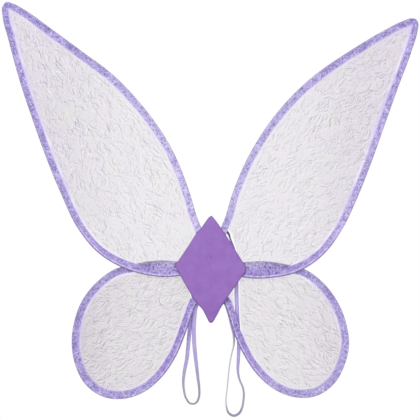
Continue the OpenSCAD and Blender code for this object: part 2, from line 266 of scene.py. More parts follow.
def glitter_material():
    """Lavender ribbon crusted with small flakes; its "across" mark is mm from the folded edge."""
    material, tree, shader = blank("glitter_binding", 0.45, Specular_IOR_Level=0.45)
    place = object_space(tree)
    flakes = put(tree, "ShaderNodeTexVoronoi", Vector=place, Scale=560.0)
    small = put(tree, "ShaderNodeTexVoronoi", Vector=place, Scale=1500.0)
    pick = put(tree, "ShaderNodeSeparateColor", _0=flakes.outputs["Color"])
    pick_small = put(tree, "ShaderNodeSeparateColor", _0=small.outputs["Color"])
    zones = noise_of(tree, place, 60, 3, 0.6)
    mottled = noise_of(tree, place, 230, 3, 0.6)
    across = attribute(tree, "across")
    tone = attribute(tree, "tone")
    low = mix(tree, tone, srgb(147, 131, 196), srgb(190, 177, 228))
    high = mix(tree, tone, srgb(183, 169, 227), srgb(220, 209, 248))
    base = mix(tree, ramp(tree, zones, 0.32, 0.68), low, high)
    blotch = mix(tree, tone, srgb(122, 106, 174), srgb(150, 134, 200))
    base = mix(tree, ramp(tree, mottled, 0.46, 0.68, 0, 0.75), base, blotch)
    base = mix(tree, ramp(tree, mottled, 0.44, 0.3, 0, 0.4), base, srgb(206, 194, 244))
    # clumps, where the glitter is thick
    crust = attribute(tree, "crust")
    clumps = noise_of(tree, place, 320, 2, 0.6, 0.5)
    sunk = times(tree, ramp(tree, clumps, 0.52, 0.62, 0, 0.85), crust)
    base = mix(tree, sunk, base, srgb(100, 82, 160))
    raised = times(tree, ramp(tree, clumps, 0.45, 0.34, 0, 0.7), crust)
    base = mix(tree, raised, base, srgb(220, 208, 252))
    # dark flakes, pale flakes and painted glints
    base = mix(tree, ramp(tree, pick.outputs[0], 0.76, 0.82, 0, 0.5), base, srgb(112, 94, 170))
    light_flake = ramp(tree, pick.outputs[1], 0.84, 0.9, 0, 0.55)
    base = mix(tree, light_flake, base, srgb(220, 210, 248))
    glint = ramp(tree, pick_small.outputs[2], 0.965, 0.985, 0, 0.85)
    base = mix(tree, glint, base, srgb(255, 255, 255))
    # the piped run's tint, the pale hem, a painted highlight on the crest over the wire, and the
    # fold, greyed, and on the piped runs darkened as painted shade below the crest
    piping = attribute(tree, "piping")
    base = mix(tree, times(tree, piping, 0.32), base, srgb(152, 118, 208))
    hem = ramp(tree, attribute(tree, "hem"), 0.0, 1.0, 0.0, 0.55)
    base = mix(tree, hem, base, srgb(214, 202, 246))
    # painted highlight along the crest over the wire
    crest_highlight = math_of(tree, "ABSOLUTE", math_of(tree, "SUBTRACT", across, CREST_V))
    crest_highlight = times(tree, ramp(tree, crest_highlight, 0.3, 1.1, 0.75, 0.0), piping)
    broken = ramp(tree, noise_of(tree, place, 150, 2, 0.6), 0.4, 0.58, 0.4, 1.0)
    crest_highlight = times(tree, crest_highlight, broken)
    base = mix(tree, crest_highlight, base, srgb(226, 216, 252))
    # the fold is greyed, and on the piped runs darkened as painted shade below the crest
    fold = math_of(tree, "SUBTRACT", across, times(tree, piping, 0.7))
    rim = ramp(tree, fold, 0.5, 1.3, 1.0, 0.0)
    fold_grey_and_shade = mix(tree, piping, srgb(160, 153, 180), srgb(116, 100, 152))
    base = mix(tree, times(tree, rim, 0.6), base, fold_grey_and_shade)
    # flakes lie at all angles
    tilt = vector_of(tree, "SUBTRACT", _0=flakes.outputs["Color"], _1=(0.5, 0.5, 0.5))
    tilt = vector_of(tree, "SCALE", _0=tilt, Scale=0.5)
    facing = put(tree, "ShaderNodeNewGeometry").outputs["Normal"]
    turned = vector_of(tree, "ADD", _0=facing, _1=tilt)
    turned = vector_of(tree, "NORMALIZE", _0=turned)
    height = times(tree, small.outputs["Distance"], -1.0)
    normal = bump(tree, height, 0.0003, 0.5, turned)
    metal = times(tree, light_flake, 0.3)
    feed(tree, shader, Base_Color=base, Normal=normal, Metallic=metal)
    return material


def felt_material(name, colour, shade, cut):
    """Pressed felt: a mottled nap with short fibres, with painted shade along its cut edge,
    stronger lower down.
    """
    material, tree, shader = blank(name, 0.9, Sheen_Weight=0.2, Sheen_Roughness=0.5)
    place = object_space(tree)
    nap = noise_of(tree, place, 1400, 3, 0.7, 0.4)
    cloud = noise_of(tree, place, 70, 3, 0.6)
    soft = math_of(tree, "ADD", times(tree, nap, 0.55), times(tree, cloud, 0.45))
    tone = mix(tree, ramp(tree, soft, 0.35, 0.65, 0.3, 1.0), shade, colour)
    height = put(tree, "ShaderNodeSeparateXYZ", Vector=place).outputs[2]
    low = ramp(tree, height, -0.038, -0.058, 0.0, 0.75)
    tone = mix(tree, times(tree, low, ramp(tree, cloud, 0.35, 0.6)), tone, shade)
    # painted shade along the cut edge, stronger on the lower edges
    edge = ramp(tree, attribute(tree, "edge"), 0.3, 1.5, 0.9, 0.0)
    edge = times(tree, edge, ramp(tree, height, -0.002, 0.012, 1.0, 0.5))
    tone = mix(tree, edge, tone, cut)
    fuzz = noise_of(tree, place, 3200, 2, 0.6)
    height = math_of(tree, "ADD", nap, times(tree, fuzz, 0.5))
    feed(tree, shader, Base_Color=tone, Normal=bump(tree, height, 0.00025, 0.6))
    return material


# The weave's waves, in radians per half width across and per m along
RIB_WAVES = 22.0
PICK_WAVES = 5200.0
PICK_SLANT = 1.4


def elastic_material():
    """Flat braided elastic: lengthwise ribs crossed by slanting picks."""
    material, tree, shader = blank("braided_elastic", 0.6, Sheen_Weight=0.2, Sheen_Roughness=0.4)
    across = attribute(tree, "across")
    along = attribute(tree, "along")
    ribs = math_of(tree, "SINE", times(tree, across, RIB_WAVES))
    slant = times(tree, math_of(tree, "ABSOLUTE", across), PICK_SLANT)
    picks = times(tree, along, PICK_WAVES)
    picks = math_of(tree, "SINE", math_of(tree, "ADD", picks, slant))
    weave = math_of(tree, "ADD", times(tree, ribs, 0.5), times(tree, picks, 0.5))
    cloud = noise_of(tree, object_space(tree), 90, 2, 0.5)
    tone = mix(tree, ramp(tree, weave, -0.8, 0.8), srgb(165, 149, 212), srgb(213, 197, 251))
    tone = mix(tree, ramp(tree, cloud, 0.4, 0.7, 0, 0.3), tone, srgb(160, 146, 200))
    # painted light brightens the elastic near the patch
    tone = mix(tree, attribute(tree, "painted_light"), tone, srgb(208, 188, 255))
    # painted shade along both rounded selvedges
    selvedge_shade = ramp(tree, math_of(tree, "ABSOLUTE", across), 0.55, 0.95, 0, 0.5)
    tone = mix(tree, selvedge_shade, tone, srgb(120, 104, 162))
    tone = mix(tree, attribute(tree, "worn"), tone, srgb(170, 168, 180))
    # painted light brightens the right loop's inner run
    tone = mix(tree, attribute(tree, "inner_run_light"), tone, srgb(236, 235, 240))
    # painted shade at the right strap's top bend and along both feet
    tone = mix(tree, attribute(tree, "painted_shade"), tone, srgb(74, 58, 104))
    feed(tree, shader, Base_Color=tone, Normal=bump(tree, weave, 0.00012, 0.8))
    return material


def thread_material():
    material, tree, shader = blank("spun_thread", 0.62)
    twist = put(
        tree, "ShaderNodeTexWave", {"bands_direction": "DIAGONAL"},
        Vector=object_space(tree), Scale=900.0, Distortion=1.0,
    ).outputs["Fac"]
    tone = mix(tree, twist, srgb(112, 82, 158), srgb(146, 112, 186))
    feed(tree, shader, Base_Color=tone, Normal=bump(tree, twist, 0.0001, 0.6))
    return material


def steel_material(name, dark, bright, roughness):
    """Drawn metal with fine streaks and faint stains."""
    material, tree, shader = blank(name, roughness, Metallic=1.0)
    streaks = noise_of(tree, object_space(tree, scale=(1, 1, 0.08)), 2600, 3, 0.6)
    stains = noise_of(tree, object_space(tree), 160, 3, 0.6)
    tone = mix(tree, times(tree, streaks, stains), bright, dark)
    rough = ramp(tree, stains, 0.3, 0.7, roughness * 0.8, roughness * 1.3)
    feed(tree, shader, Base_Color=tone, Roughness=rough, Normal=bump(tree, streaks, 0.00005, 0.5))
    return material


def plain_weave_material(name, dark, light, count):
    """Close plain weave, count threads to the metre, for tape."""
    material, tree, shader = blank(name, 0.8)
    place = object_space(tree)
    axes = put(tree, "ShaderNodeSeparateXYZ", Vector=place)
    warp = math_of(tree, "SINE", times(tree, axes.outputs[0], count * math.tau))
    weft = math_of(tree, "SINE", times(tree, axes.outputs[2], count * math.tau))
    weave = times(tree, warp, weft)
    tone = mix(tree, ramp(tree, weave, -0.7, 0.7), dark, light)
    feed(tree, shader, Base_Color=tone, Normal=bump(tree, weave, 0.0001, 0.6))
    return material


def board_material():
    """Pressed card, faintly flecked."""
    material, tree, shader = blank("pressed_board", 0.7)
    place = object_space(tree)
    flecks = noise_of(tree, place, 900, 4, 0.7)
    clouds = noise_of(tree, place, 80, 3, 0.5)
    both = times(tree, flecks, clouds)
    tone = mix(tree, ramp(tree, both, 0.12, 0.4), srgb(196, 190, 200), srgb(232, 229, 236))
    feed(tree, shader, Base_Color=tone, Normal=bump(tree, flecks, 0.00008, 0.5))
    return material


def wadding_material():
    material, tree, shader = blank("wadding", 0.95, Sheen_Weight=0.3)
    tufts = noise_of(tree, object_space(tree), 420, 5, 0.7, 0.8)
    tone = mix(tree, ramp(tree, tufts, 0.3, 0.7), srgb(214, 212, 218), srgb(247, 246, 250))
    feed(tree, shader, Base_Color=tone, Normal=bump(tree, tufts, 0.0006, 0.8))
    return material


GLITTER = glitter_material()
STRANDS = fibre_material()
FELT = felt_material("patch_felt", srgb(158, 117, 197), srgb(138, 94, 176), srgb(88, 56, 128))
BACK_FELT = felt_material("back_felt", srgb(156, 116, 194), srgb(142, 102, 180), srgb(96, 66, 136))
ELASTIC = elastic_material()
THREAD = thread_material()
WIRE = steel_material("drawn_wire", srgb(96, 96, 104), srgb(170, 170, 178), 0.36)
CRIMP = steel_material("crimp_metal", srgb(140, 140, 146), srgb(206, 206, 210), 0.3)
TAPE = plain_weave_material("cotton_tape", srgb(188, 178, 214), srgb(222, 214, 240), 1100)
BOARD = board_material()
WADDING = wadding_material()


# ---- mesh helpers ----
def add_mesh(name, points, faces, material, attributes=None, sharp=None):
    """A mesh object from points in mm."""
    mesh = bpy.data.meshes.new(name)
    mesh.from_pydata([tuple(MM * c for c in p) for p in points], [], faces)
    mesh.validate()
    for key, values in (attributes or {}).items():
        mesh.attributes.new(key, "FLOAT", "POINT").data.foreach_set("value", values)
    mesh.polygons.foreach_set("use_smooth", [True] * len(mesh.polygons))
    if sharp is not None:
        mesh.set_sharp_from_angle(angle=math.radians(sharp))
    mesh.materials.append(material)
    made = bpy.data.objects.new(name, mesh)
    SCENE.collection.objects.link(made)
    return made


def ring_faces(rings, count, start=0):
    """Faces of a closed tube of rings, each of count points, with both ends capped."""
    faces = []
    for i in range(rings - 1):
        for k in range(count):
            a, b = start + i * count + k, start + i * count + (k + 1) % count
            faces.append((a, b, b + count, a + count))
    faces.append(tuple(start + k for k in reversed(range(count))))
    faces.append(tuple(start + (rings - 1) * count + k for k in range(count)))
    return faces


def running_length(points):
    """How far along the polyline each of its points lies."""
    reach = [0.0]
    for a, b in zip(points, points[1:]):
        reach.append(reach[-1] + (b - a).length)
    return reach


def way_at(line, i):
    """The polyline's direction at its point i."""
    return (line[min(i + 1, len(line) - 1)] - line[max(i - 1, 0)]).normalized()


def resample(points, step):
    """The polyline's points, spaced evenly at about step."""
    reach = running_length(points)
    count = max(2, round(reach[-1] / step))
    out, k = [], 0
    for i in range(count + 1):
        want = reach[-1] * i / count
        while k < len(points) - 2 and reach[k + 1] < want:
            k += 1
        span = reach[k + 1] - reach[k]
        out.append(points[k].lerp(points[k + 1], (want - reach[k]) / span if span else 0))
    return out


def smoothstep(t):
    t = max(0.0, min(1.0, t))
    return t * t * (3 - 2 * t)


def heading(a, b, c):
    """The curve's direction at b, between its neighbours a and c."""
    before, after = b - a, c - b
    return (after.length * before.normalized() + before.length * after.normalized()).normalized()


def hermite(a, ta, b, tb, t):
    """The point at t, from 0 to 1, of the curve from a along ta to b along tb."""
    reach = (b - a).length
    return (
        (2 * t**3 - 3 * t**2 + 1) * a + (t**3 - 2 * t**2 + t) * reach * ta
        + (3 * t**2 - 2 * t**3) * b + (t**3 - t**2) * reach * tb
    )


def curve_through(knots, steps, first=None, last=None):
    """A smooth line through the knots; first and last are its directions at the ends."""
    ways = [first or (knots[1] - knots[0]).normalized()]
    ways += [heading(*three) for three in zip(knots, knots[1:], knots[2:])]
    ways.append(last or (knots[-1] - knots[-2]).normalized())
    line = [
        hermite(knots[i], ways[i], knots[i + 1], ways[i + 1], k / steps)
        for i in range(len(knots) - 1)
        for k in range(steps)
    ]
    return line + [knots[-1]]


# ---- straps ----
# Stations as in the CAD: x, depth and z in mm, and the turn in degrees
RIGHT_STRAP = [
    (8, STRAP_MID, 38, 0), (11, STRAP_MID, 46, 0),
    (15.5, STRAP_MID, 51.5, 0), (20, STRAP_MID, 54, 0),
    (24.5, -1.4, 52, 62), (27.2, -1, 45, 70), (30, -1, 36, 50), (33, -1.2, 24, 5),
    (35.5, -1.2, 8, 0), (36.5, -1.2, -12, 0), (36.5, -1.2, -32, 0), (37, -0.6, -52, 5),
    (38, 0.6, -72, 10), (39.5, 2, -92, 20), (40, 3, -112, 30), (39.2, 4, -132, 42),
    (38.8, 4.5, -149, 56), (41.5, 5, -161, 62), (45.8, 5, -171, 64), (47.4, 5, -181, 64),
    (46.6, 5, -191, 64), (44.8, 5, -200.5, 64), (40.5, 5, -208.5, 64), (33, 5, -212, 64),
    (25.8, 5, -208.5, 66), (22.2, 5, -199.5, 68), (21.4, 5, -189, 70), (22.6, 5, -177, 70),
    (24.2, 4.7, -162, 70), (26, 4.2, -144, 70), (28.8, 3.6, -126, 69), (32.8, 3, -109, 64),
    (32.8, 2.4, -96, 54), (29.8, 1.4, -80, 30), (25.8, -0.2, -62, 8), (21.5, STRAP_MID, -50, 0),
    (15, STRAP_MID, -41, 0), (8, STRAP_MID, -33, 0),
]  # fmt: skip
LEFT_STRAP = [
    (-5, STRAP_MID, 32, 0), (-8, STRAP_MID, 41, 0), (-14, STRAP_MID, 43.5, 0),
    (-20, STRAP_MID, 37, 0), (-25.5, STRAP_MID, 25, 0),
    (-29, STRAP_MID, 11, 0), (-31, -1.2, -8, 0), (-28.8, -1.4, -24, 0),
    (-26.5, STRAP_MID, -34, 0), (-25, STRAP_MID, -43, 0), (-26.4, -0.2, -55, 0),
    (-28.8, 1.4, -69, 6), (-30.4, 2.2, -82, 10), (-31.8, 2.8, -96, 14), (-33.2, 3.4, -112, 20),
    (-35.2, 4.2, -130, 28), (-38.6, 4.7, -148, 38), (-40.2, 5, -162, 50), (-39.2, 5, -176, 58),
    (-35.8, 5, -187.5, 60), (-29.6, 5, -194.6, 60), (-22.6, 5, -194, 60), (-17.8, 5, -186, 60),
    (-17.1, 5, -174, 58), (-19, 4.6, -158, 50), (-21, 4, -140, 38), (-23.3, 3.2, -120, 24),
    (-24.7, 2.2, -102, 12), (-25, 0.9, -85, 8), (-24, -0.3, -69, 4), (-22, STRAP_MID, -55, 0),
    (-17, STRAP_MID, -44, 0), (-10, STRAP_MID, -35, 0),
]  # fmt: skip
STRAP_STEP = 1.2
STRAP_RIBS = 7
STRAP_COLUMNS = 28
RIB_DEPTH = 0.045
PICK_DEPTH = 0.02
WEAVE_INSET = 0.06
SELVEDGE_THIN = 0.7
RIGHT_RUNS_PART_X = 34.5


def on_right_inner_run(at):
    return 0 < at[0] < RIGHT_RUNS_PART_X and at[2] < 0


def wear(at):
    """How far the elastic has greyed: at the foot of each loop, and on the right inner run."""
    if on_right_inner_run(at):
        return 0.9 * smoothstep((-72 - at[2]) / 22)
    return 0.75 * smoothstep((-120 - at[2]) / 55)


def painted_light_on_inner_run(at):
    """How much painted light brightens the right loop's inner run above its foot, where it lies
    edge-on in shade.
    """
    if on_right_inner_run(at):
        return 0.85 * smoothstep((-62 - at[2]) / 30) * smoothstep((at[2] + 212) / 20)
    return 0.0


def painted_light_near_patch(at):
    """How much painted light brightens the elastic near the patch, where it lies in shade."""
    most = 0.7 if at[0] < 0 else 0.6
    return most * smoothstep((at[2] + 95) / 60)


def painted_strap_shade(at):
    """How much painted shade darkens the elastic: at the right strap's top bend and along both
    feet.
    """
    bend = 0.9 * smoothstep((at[2] - 43) / 5) * smoothstep((at[0] - 21) / 2)
    foot = -180 if at[0] < 0 else -197
    return bend + 0.28 * smoothstep((foot - at[2]) / 12)


def strap(name, route, node):
    """A flat ribbed band that twists along its route."""
    steps = 12
    dense = curve_through([Vector(p[:3]) for p in route], steps)
    reach = running_length(dense)
    line = resample(dense, STRAP_STEP)
    turns = np.interp(
        np.linspace(0, reach[-1], len(line)), reach[::steps], [p[3] for p in route]
    )
    points = []
    marks = {key: [] for key in ("across", "along", "worn", "painted_shade", "painted_light", "inner_run_light")}
    count = 2 * STRAP_COLUMNS
    for i, at in enumerate(line):
        way = way_at(line, i)
        level = way.cross(Vector((0, 1, 0))).normalized()
        deep = way.cross(level)
        turn = math.radians(turns[i])
        wide = math.cos(turn) * level + math.sin(turn) * deep
        thick = way.cross(wide)
        for k in range(count):
            face = 1 if k < STRAP_COLUMNS else -1
            u = -1 + 2 * ((k % STRAP_COLUMNS) + 0.5) / STRAP_COLUMNS
            u *= face
            edge = 1 - SELVEDGE_THIN * abs(u) ** 10
            rib = RIB_DEPTH * math.cos(u * math.pi * STRAP_RIBS)
            pick = PICK_DEPTH * math.sin(i * math.pi / 2 + abs(u) * 3)
            # ribs and picks rise to about the CAD's thickness
            t = face * edge * (STRAP_T / 2 - WEAVE_INSET + rib + pick)
            points.append(at + u * STRAP_W / 2 * wide + t * thick)
            marks["across"].append(u)
            marks["along"].append(i * STRAP_STEP * MM)
            marks["worn"].append(wear(at))
            marks["painted_shade"].append(painted_strap_shade(at))
            marks["painted_light"].append(painted_light_near_patch(at))
            marks["inner_run_light"].append(painted_light_on_inner_run(at))
    made = add_mesh(name, points, ring_faces(len(line), count), ELASTIC, marks)
    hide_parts(node)
    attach(made, "harness")
    print(name, "centre line", round(running_length(line)[-1] * MM, 4))
    return made, [MM * p for p in line]


STRAP_LINES = {}
for side, route in (("left", LEFT_STRAP), ("right", RIGHT_STRAP)):
    made, line = strap(f"{side}_shoulder_strap", route, f"{side}_strap")
    STRAP_LINES[side] = np.array([(p[0], p[2]) for p in line]) / MM

# ---- wing outlines ----
# Outer edges, outwards and up from the middle, in mm, as in the CAD
RIMS = {
    "upper_left": [
        (11, 48), (13.5, 58), (19.5, 73), (30, 108), (58, 176), (106.5, 244.5), (139.5, 278.5),
        (185, 313), (232, 347.5), (268, 373), (285, 382), (294, 384), (299.5, 378), (299.5, 364),
        (291.5, 331.5), (272.5, 263), (255, 211), (236.5, 159.5), (215.5, 108.5), (190.5, 57.5),
        (160.5, 22.5), (138.5, 8), (115, -2), (87, -9), (55, -10.5), (34, -6), (20, 4), (11, 16)],
    "upper_right": [
        (11, 48), (13.5, 58), (19.5, 73), (30, 107.5), (61, 176), (110.5, 243.5), (148, 278.5),
        (197, 312.5), (246, 342), (276, 357), (287, 360.5), (294, 359.5), (297.5, 353.5),
        (296.5, 343), (287.5, 312.5), (268, 260), (250, 209.5), (231.5, 157.5), (211.5, 106.5),
        (187.5, 56.5), (161.5, 21.5), (140.5, 5), (116, -6.5), (87, -12), (55, -12.5), (34, -8),
        (20, 3), (11, 16)],
    "lower_left": [
        (11, -12), (20, -1), (34, 8), (55, 12), (87, 12), (113, 7), (137, 1), (162, -16),
        (184.5, -43), (198, -80), (200.5, -108), (195, -139), (180, -166.5), (153, -184),
        (124, -186), (97.5, -177), (70.5, -154.5), (50, -124), (37, -93), (27, -64), (21, -49),
        (13.5, -42), (11, -34)],
    "lower_right": [
        (11, -12), (20, -1), (34, 7.5), (55, 11), (87, 11), (113, 6), (136, -0.5), (160, -18),
        (181, -45), (195, -80.5), (198.5, -108), (192, -137.5), (177, -164.5), (151.5, -182),
        (124, -184.5), (98, -176.5), (70, -155.5), (48, -125), (33.5, -94), (24.5, -65),
        (19.5, -50), (13.3, -42), (11, -34)],
}  # fmt: skip
ROOT_W = 24
ROOT_TOP = 50
ROOT_DIAMOND = (48, 72)
RIM_STEP = 1.2


def in_root(p):
    """True behind the patches, where the bindings and the films stop."""
    w, h = ROOT_DIAMOND
    return p[0] < ROOT_W and abs(p[1]) < ROOT_TOP and p[0] / w + abs(p[1]) / h < 1


def rim_line(wing):
    """The wing's outer edge, evenly spaced, and the unit vector into the wing at each point."""
    up = Vector((0, 1))
    knots = [Vector(p) for p in RIMS[wing]]
    line = resample(curve_through(knots, 24, up, up), RIM_STEP)
    inner = []
    for i in range(len(line)):
        way = way_at(line, i)
        inner.append(Vector((way[1], -way[0])))
    return line, inner


def clean_inset(line, inner, depth):
    """The outline moved inwards, without the points that would lie nearer than that to it."""
    flat = np.array([tuple(p) for p in line])
    out = []
    for p, n in zip(line, inner):
        q = p + depth * n
        if np.hypot(flat[:, 0] - q[0], flat[:, 1] - q[1]).min() > depth - 0.3:
            out.append(q)
    return out


# ---- bindings ----
# The ply's section: mm in from the fold and mm off the middle over the wire, then the
# share of the flat and mm off the middle as far as the hem. The seam runs at SEAM_F.
RIDGE_V = [0, 0.1, 0.35, 0.8, 1.4, 2.0, 2.6, 3.2, 3.8, 4.5]
RIDGE_H = [0, 0.5, 0.95, 1.3, 1.47, 1.5, 1.42, 1.18, 0.9, 0.74]
FLAT_F = [0.15, 0.32, 0.5, 0.66, 0.78, 0.86, 0.92, 0.97, 1.0]
FLAT_H = [0.68, 0.64, 0.62, 0.6, 0.6, 0.52, 0.6, 0.56, 0.34]
SEAM_F = 0.86
SEAM_DIP = 0.14
STITCH_PITCH = 3.0
MAX_HALF_T = 1.5
# Over this many steps from its ends the ribbon fans out by up to FAN_SKEW steps
FAN = 22
FAN_SKEW = 8
# How pale each binding is, at even steps round the rim from its top end at the patch
PALENESS = {
    "upper_left": (1, 1, 1, 0.55, 0, 0, 0, 0, 0.1, 0.3, 0.5, 0.65, 0.65),
    "upper_right": (0.5, 0.95, 0.6, 0.3, 0.25, 0, 0, 0.25, 0.45, 0.7, 0.5, 0, 0),
    "lower_left": (0.6, 1, 0.2, 0.05, 0, 0, 0, 0.15, 0.35, 0.15, 0.1, 0.3, 0.3),
    "lower_right": (1, 1, 0.35, 0.15, 0, 0.3, 0.5, 0.45, 0.3, 0.45, 0.4, 0.3, 0),
}
# Width added round the rim at even steps, in mm
SPREAD = {
    "upper": (0, -0.4, 0.2, 0.7, 0.6, -0.8, -0.6, -0.4, -0.3, -0.2, 2.2, 2.6),
    "lower": (3.4, 3.2, 0.6, 0, 0.2, 1, 2, 2, 1, 0.4, 0.4, 0.4),
}
PIPED_FROM = {"upper": 0.76, "lower": 0.72}
# The glitter is thick and clumped this near the middle and below this height, in mm
CRUST_REACH = 135
CRUST_TOP = 25


def around(values, f):
    """The value at f, from 0 to 1, among evenly spaced values."""
    return float(np.interp(f, np.linspace(0, 1, len(values)), values))


def binding(wing, plane, body, side, seed):
    """Ribbon folded over the rim: a ridge over the wire, two plies and a sewn inner edge."""
    line, inner = rim_line(wing)
    shown = [i for i in range(len(line)) if not in_root(line[i])]
    first, last = shown[0], shown[-1]
    level = wing.split("_")[0]
    marks = {"across": [], "tone": [], "piping": [], "hem": [], "crust": []}
    points = []
    profile = 2 * (len(RIDGE_V) + len(FLAT_F)) - 1
    for i in range(first, last + 1):
        s = i * RIM_STEP
        f = i / (len(line) - 1)
        tone = around(PALENESS[wing], f)
        piping = smoothstep((f - PIPED_FROM[level]) / 0.06)
        crust = smoothstep((CRUST_REACH - math.dist(line[i], (0, 0))) / 40)
        crust *= smoothstep((CRUST_TOP - line[i][1]) / 15)
        wide = BINDING_W + around(SPREAD[level], f)
        wide += 0.55 * noise.noise(Vector((s / 26, seed, 0)))
        wide += 0.2 * noise.noise(Vector((s / 5, seed, 3)))
        outer = line[i]
        near = min(i - first, last - i)
        skew = FAN_SKEW * smoothstep(1 - near / FAN)
        j = i - skew if i - first < last - i else i + skew
        j = max(0, min(len(line) - 1, round(j)))
        hem = line[j] + wide * inner[j]
        reach = (hem - outer).length
        toward = (hem - outer).normalized()
        lift = 0.16 * noise.noise(Vector((s / 14, seed, 9)))
        pinch = 0.5 + 0.5 * math.cos(math.tau * s / STITCH_PITCH)
        ply = [(v, h, False) for v, h in zip(RIDGE_V, RIDGE_H)]
        flat = reach - RIDGE_V[-1]
        for share, h in zip(FLAT_F, FLAT_H):
            ply.append((RIDGE_V[-1] + share * flat, h, share == SEAM_F))
        loop = [(v, h, sewn, -1) for v, h, sewn in reversed(ply)]
        loop += [(v, h, sewn, 1) for v, h, sewn in ply[1:]]
        for v, h, sewn, face in loop:
            crease = 0.1 * noise.noise(Vector((s / 3.2, v / 9, seed + face)))
            sway = lift * v / reach
            if sewn:
                h -= SEAM_DIP * pinch
            # the fold and the hem's edge stay free of creases
            h = max(0.0, h + crease * min(1, v / 3) * (1 if h > 0.4 else 0))
            p = outer + v * toward
            points.append((side * p[0], plane + sway + face * min(h, MAX_HALF_T), p[1]))
            marks["across"].append(v)
            marks["tone"].append(tone)
            marks["piping"].append(piping)
            marks["crust"].append(crust)
            marks["hem"].append(smoothstep((v / reach - 0.8) / 0.14) * (1 - 0.7 * piping))
    rings = last - first + 1
    faces = ring_faces(rings, profile)
    if side > 0:
        faces = [tuple(reversed(f)) for f in faces]
    made = add_mesh(f"{wing}_glitter_edge", points, faces, GLITTER, marks)
    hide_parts(f"{wing}_binding")
    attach(made, body)


# ---- cut sheets ----
def inside(points, ring):
    """For each point, whether it lies in the closed ring."""
    x, y = points[:, 0], points[:, 1]
    hit = np.zeros(len(points), bool)
    for (x0, y0), (x1, y1) in zip(ring, np.roll(ring, -1, axis=0)):
        if y0 == y1:
            continue
        spans = (y0 > y) != (y1 > y)
        hit ^= spans & (x < (x1 - x0) * (y - y0) / (y1 - y0) + x0)
    return hit


def line_reach(points, line, closed=True):
    """Distance from each point to the line's nearest place."""
    best = np.full(len(points), 1e9)
    ends = np.roll(line, -1, axis=0)
    for a, b in list(zip(line, ends))[: None if closed else -1]:
        ab = b - a
        t = np.clip(((points - a) @ ab) / max(ab @ ab, 1e-9), 0, 1)
        best = np.minimum(best, np.linalg.norm(points - a - t[:, None] * ab, axis=1))
    return best


def fill(outline, grid):
    """Even triangles inside a closed outline: points, faces, its own ring and their numbers."""
    ring = np.array([tuple(p) for p in resample(outline + [outline[0]], grid)[:-1]])
    low, high = ring.min(0), ring.max(0)
    row = grid * math.sqrt(3) / 2
    spots = np.array([
        (low[0] + (k + 0.5 * (r % 2)) * grid, low[1] + r * row)
        for r in range(int((high[1] - low[1]) / row) + 1)
        for k in range(int((high[0] - low[0]) / grid) + 1)
    ])
    spots = spots[inside(spots, ring)]
    spots = spots[line_reach(spots, ring) > 0.55 * grid]
    count = len(ring)
    flat = [Vector(p) for p in ring] + [Vector(p) for p in spots]
    made = delaunay_2d_cdt(flat, [(i, (i + 1) % count) for i in range(count)], [], 1, 1e-6)
    order = {ids[0]: i for i, ids in enumerate(made[3]) if ids}
    return np.array([tuple(p) for p in made[0]]), made[2], ring, [order[i] for i in range(count)]


# ---- films ----
FILM_GRID = 1.7
WING_TIP = (299, 380)
# Direction of the crackle's strokes on each wing, in degrees up from outwards
CRACKLE_TURN = {"upper_left": 56, "upper_right": 45, "lower_left": -28, "lower_right": -36}
# How many strands lie on each mm2 of a film's bounding box, and each strand's step and lift off
# the film, in mm
STRANDS_PER_MM2 = 0.012
STRAND_STEP = 1.5
STRAND_LIFT = 0.22
# Strands keep this far from the film's edge, in mm
STRAND_CLEAR = 9


CRACKLE_HEIGHT = 0.16
CRACKLE_SPREAD = 0.16


def crackle(x, z, turn, seed):
    """Relief of the crackle in mm: long thin ridges that wander along one way."""
    c, s = math.cos(turn), math.sin(turn)
    u, v = x * c + z * s, -x * s + z * c
    n = noise.noise(Vector((u / 15, v / 5, seed)))
    n += 0.5 * noise.noise(Vector((u / 7, v / 2.5, seed + 4)))
    return CRACKLE_HEIGHT * max(0.0, 1 - abs(n) / CRACKLE_SPREAD)


def film_depth(p, edge, turn, seed):
    """The film's slack and crackle at p, in mm; edge is how far p lies from the film's edge."""
    slack = 0.5 * noise.noise(Vector((p[0] / 55, p[1] / 55, seed)))
    slack += 0.22 * noise.noise(Vector((p[0] / 17, p[1] / 17, seed + 2)))
    relief = crackle(p[0], p[1], turn, seed) * smoothstep(edge / 8)
    return slack * smoothstep((edge - 2) / 14) + relief


def ease(values):
    """smoothstep for arrays."""
    t = np.clip(values, 0, 1)
    return t * t * (3 - 2 * t)


def backed(points, wing, side):
    """1 where the film lies on a strap or on the lower wing's binding, and so looks clear."""
    level, side_name = wing.split("_")
    off_strap = line_reach(points, STRAP_LINES[side_name] * (side, 1), False)
    clear = ease((5.2 - off_strap) / 1.8)
    if level == "upper":
        ring = np.array([tuple(p) for p in rim_line(f"lower_{side_name}")[0]])
        gap = line_reach(points, ring)
        band = ease((gap - 0.8) / 2.2) * ease((BINDING_W + 5 - gap) / 2)
        clear = np.maximum(clear, inside(points, ring) * band)
    return clear


def glow(points, level):
    """How strongly the binding's lilac shows in the film's margin: most along the outer run."""
    if level == "lower":
        return np.full(len(points), 0.75)
    tip = np.array(WING_TIP) / math.dist(WING_TIP, (0, 0))
    outwards = points[:, 0] * tip[1] - points[:, 1] * tip[0]
    return 0.5 + 0.5 * ease(outwards / 30 + 0.5)


